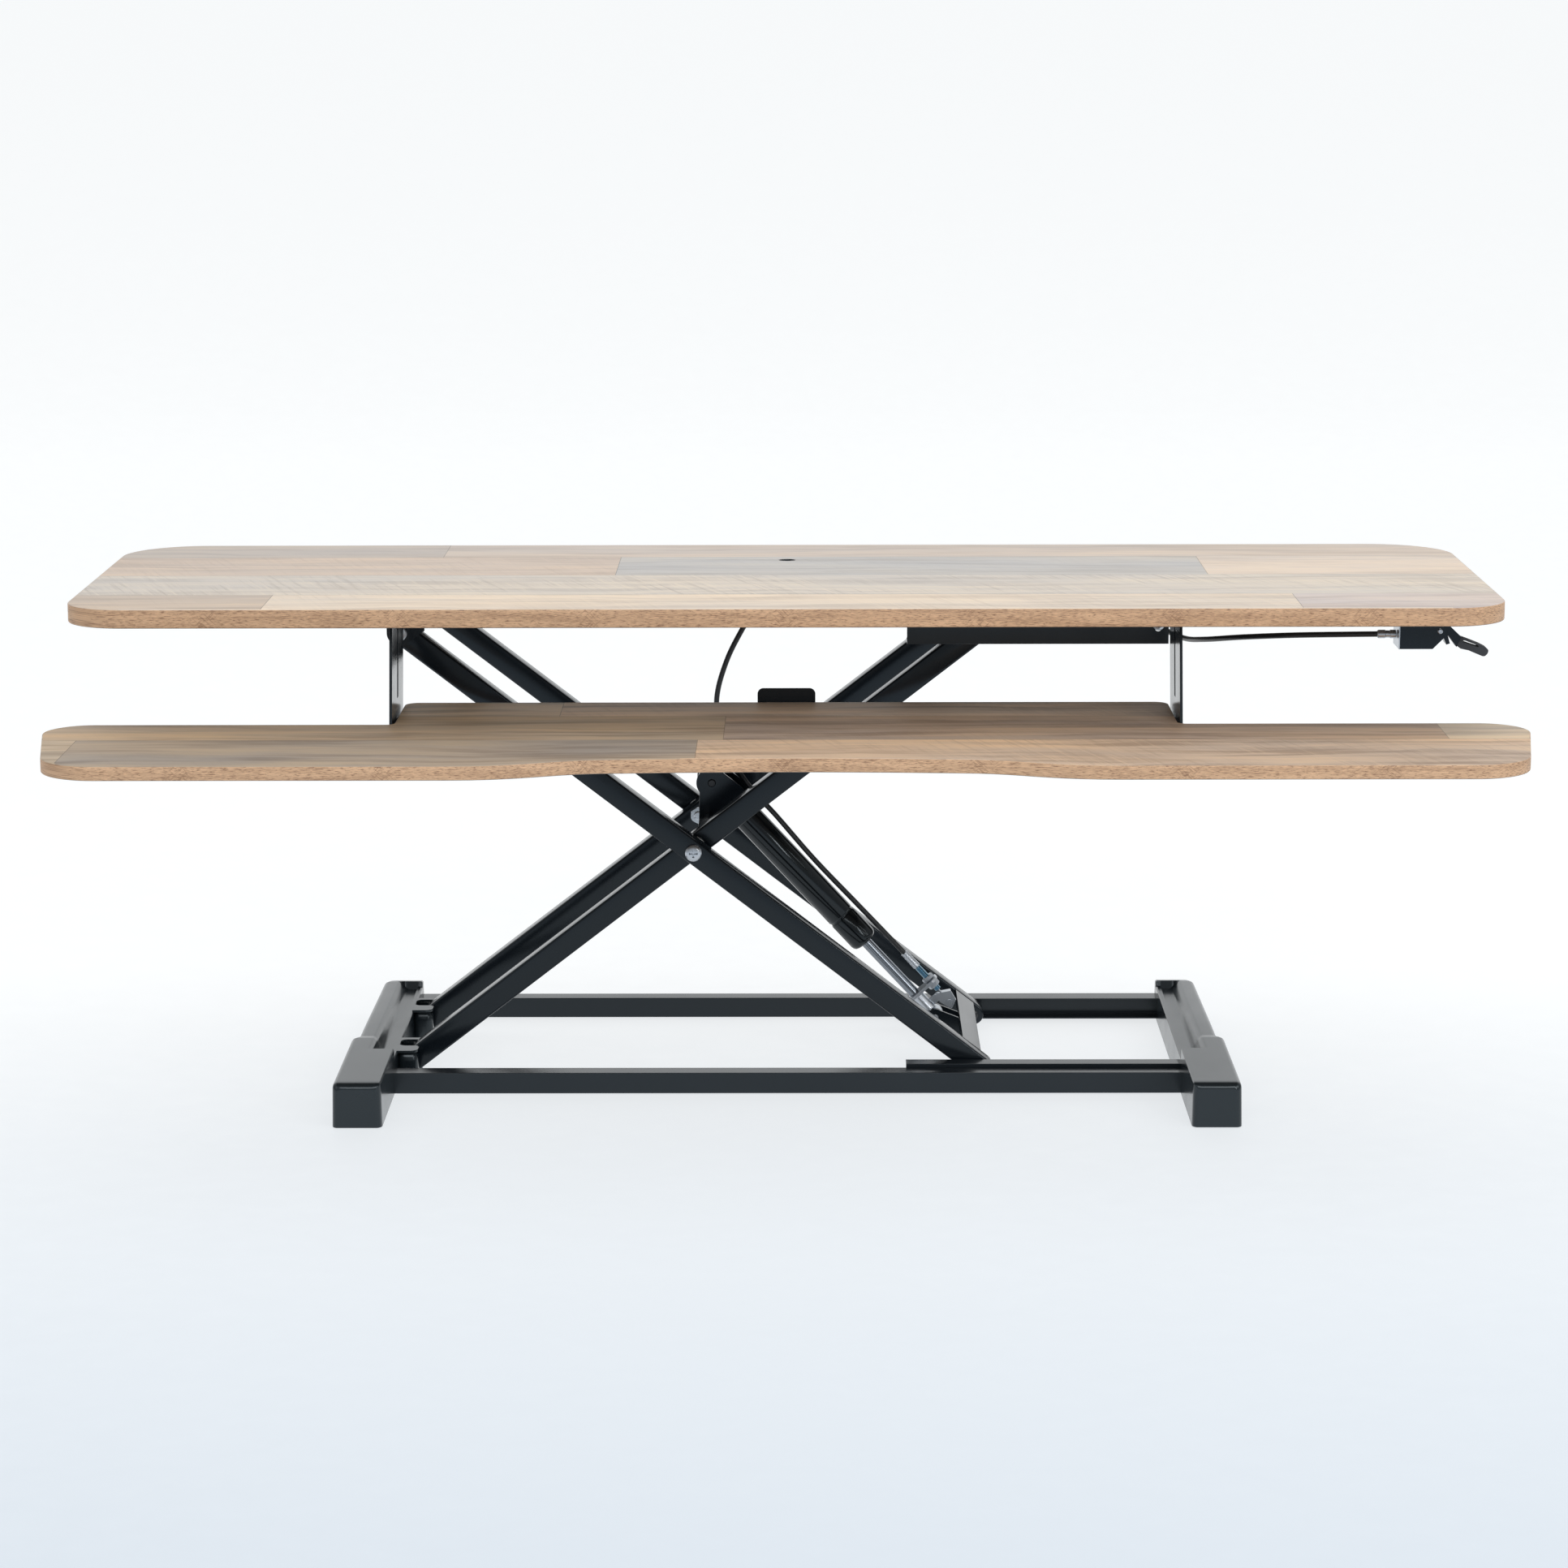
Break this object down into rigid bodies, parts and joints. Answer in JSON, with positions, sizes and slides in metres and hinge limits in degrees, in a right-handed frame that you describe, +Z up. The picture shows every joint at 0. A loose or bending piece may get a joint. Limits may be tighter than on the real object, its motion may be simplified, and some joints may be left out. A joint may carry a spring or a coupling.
{
  "type": "standing desk converter",
  "caption": "Two-tier sit-stand desk riser: plank-look desktop and hanging keyboard tray on a steel scissor lift with a lockable gas spring, squeeze handle and release cable.",
  "frame": {"origin": "on the supporting surface, under the middle of the bounding box", "axes": "+X to the user's right along the desktop, -Y towards the user, +Z up"},
  "size_m": [1.234, 0.61, 0.457],
  "materials": {
    "laminate": "rustic patchwork plank laminate over particle board, satin, with a warm oak edge band",
    "steel_black": "black satin powder-coated steel",
    "plastic_black": "black satin moulded plastic with a fine texture",
    "cylinder_gloss": "gloss black painted steel cylinder",
    "chrome_rod": "polished chromed piston rod",
    "zinc": "bright zinc plated steel",
    "rubber_black": "soft black rubber",
    "cable_sleeve": "black vinyl cable sleeve"
  },
  "bodies": {
    "base": {"foot_cover_left": "plastic_black", "foot_cover_right": "plastic_black", "base_side_bar_left": "steel_black", "base_side_bar_right": "steel_black", "rubber_pad_front_left": "rubber_black", "rubber_pad_front_right": "rubber_black", "rubber_pad_rear_left": "rubber_black", "rubber_pad_rear_right": "rubber_black", "base_rail_front": "steel_black", "base_rail_rear": "steel_black", "base_guide_front": "steel_black", "base_guide_rear": "steel_black", "base_pivot_pin_front": "zinc", "base_pivot_pin_rear": "zinc"},
    "inner_arms": {"arm_inner_front": "steel_black", "arm_inner_rear": "steel_black", "crossing_bolt_front": "zinc", "crossing_bolt_rear": "zinc", "crossing_nut_front": "zinc", "crossing_nut_rear": "zinc", "spring_bracket": "steel_black", "spring_upper_pin": "zinc", "roller_axle_top_front": "zinc", "roller_axle_top_rear": "zinc"},
    "outer_arms": {"arm_outer_front": "steel_black", "arm_outer_rear": "steel_black", "lower_cross_plate": "steel_black", "spring_lower_pin": "zinc", "roller_axle_base_front": "zinc", "roller_axle_base_rear": "zinc", "cable_loop": "cable_sleeve"},
    "top": {"top_board": "laminate", "keyboard_tray": "laminate", "tray_back_tab": "steel_black", "tray_hanger_left": "steel_black", "tray_hanger_right": "steel_black", "top_rail_front": "steel_black", "top_rail_rear": "steel_black", "top_guide_front": "steel_black", "top_guide_rear": "steel_black", "top_side_rail_left": "steel_black", "top_side_rail_right": "steel_black", "top_pivot_bracket_front": "steel_black", "top_pivot_bracket_rear": "steel_black", "top_pivot_pin_front": "zinc", "top_pivot_pin_rear": "zinc", "roller_stop_bolt": "zinc", "handle_housing": "steel_black", "cable_run": "cable_sleeve"},
    "spring_rod": {"gas_spring_rod": "chrome_rod", "release_head": "zinc", "cable_adjuster": "zinc"},
    "spring_cylinder": {"gas_spring_cylinder": "cylinder_gloss"},
    "release": {"release_lever": "zinc"},
    "handle": {"handle_lever": "steel_black", "handle_grip": "rubber_black"},
    "roller_tf": {"roller_top_front": "plastic_black"},
    "roller_tr": {"roller_top_rear": "plastic_black"},
    "roller_bf": {"roller_base_front": "plastic_black"},
    "roller_br": {"roller_base_rear": "plastic_black"}
  },
  "joints": [
    {"name": "lift", "type": "hinge", "parent": "base", "child": "inner_arms", "pos_m": [-0.338, 0.152, 0.013], "axis": [0, -1, 0], "range_deg": [-32.49, 5.97], "deforming": ["cable_loop"]},
    {"name": "crossing", "type": "hinge", "parent": "inner_arms", "child": "outer_arms", "pos_m": [-0.08266, 0.152, 0.21], "axis": [0, -1, 0], "range_deg": [-12.04, 65.08]},
    {"name": "top_pivot", "type": "hinge", "parent": "outer_arms", "child": "top", "pos_m": [-0.338, 0.152, 0.407], "axis": [0, -1, 0], "range_deg": [-32.54, 6.02]},
    {"name": "spring_foot", "type": "hinge", "parent": "outer_arms", "child": "spring_rod", "pos_m": [0.13408, 0.152, 0.03583], "axis": [0, -1, 0], "range_deg": [-0.68, 0.13]},
    {"name": "spring_stroke", "type": "slide", "parent": "spring_rod", "child": "spring_cylinder", "axis": [-0.678, 0, 0.735], "range_m": [-0.0503, 0.0094]},
    {"name": "handle_squeeze", "type": "hinge", "parent": "top", "child": "handle", "pos_m": [0.546, -0.105, 0.431], "axis": [0, -1, 0], "range_deg": [0, 14], "stiffness_Nm_per_rad": 0.6, "springref_deg": -20.05},
    {"name": "release_pull", "type": "hinge", "parent": "spring_rod", "child": "release", "pos_m": [0.13725, 0.152, 0.05304], "axis": [0, -1, 0], "range_deg": [0, 10]},
    {"name": "roller_spin_base_front", "type": "hinge", "parent": "outer_arms", "child": "roller_bf", "pos_m": [0.17267, 0.032, 0.013], "axis": [0, -1, 0], "continuous": true},
    {"name": "roller_spin_base_rear", "type": "hinge", "parent": "outer_arms", "child": "roller_br", "pos_m": [0.17267, 0.272, 0.013], "axis": [0, -1, 0], "continuous": true},
    {"name": "roller_spin_top_front", "type": "hinge", "parent": "inner_arms", "child": "roller_tf", "pos_m": [0.17267, 0.053, 0.407], "axis": [0, -1, 0], "continuous": true},
    {"name": "roller_spin_top_rear", "type": "hinge", "parent": "inner_arms", "child": "roller_tr", "pos_m": [0.17267, 0.251, 0.407], "axis": [0, -1, 0], "continuous": true}
  ],
  "couplings": [
    {"joint": "crossing", "follows": "lift", "ratio": -2},
    {"joint": "top_pivot", "follows": "lift", "ratio": 1},
    {"joint": "spring_foot", "follows": "lift", "ratio": 0.019},
    {"joint": "spring_stroke", "follows": "lift", "m_per_rad": 0.0882},
    {"joint": "release_pull", "follows": "handle_squeeze", "ratio": 0.7}
  ]
}
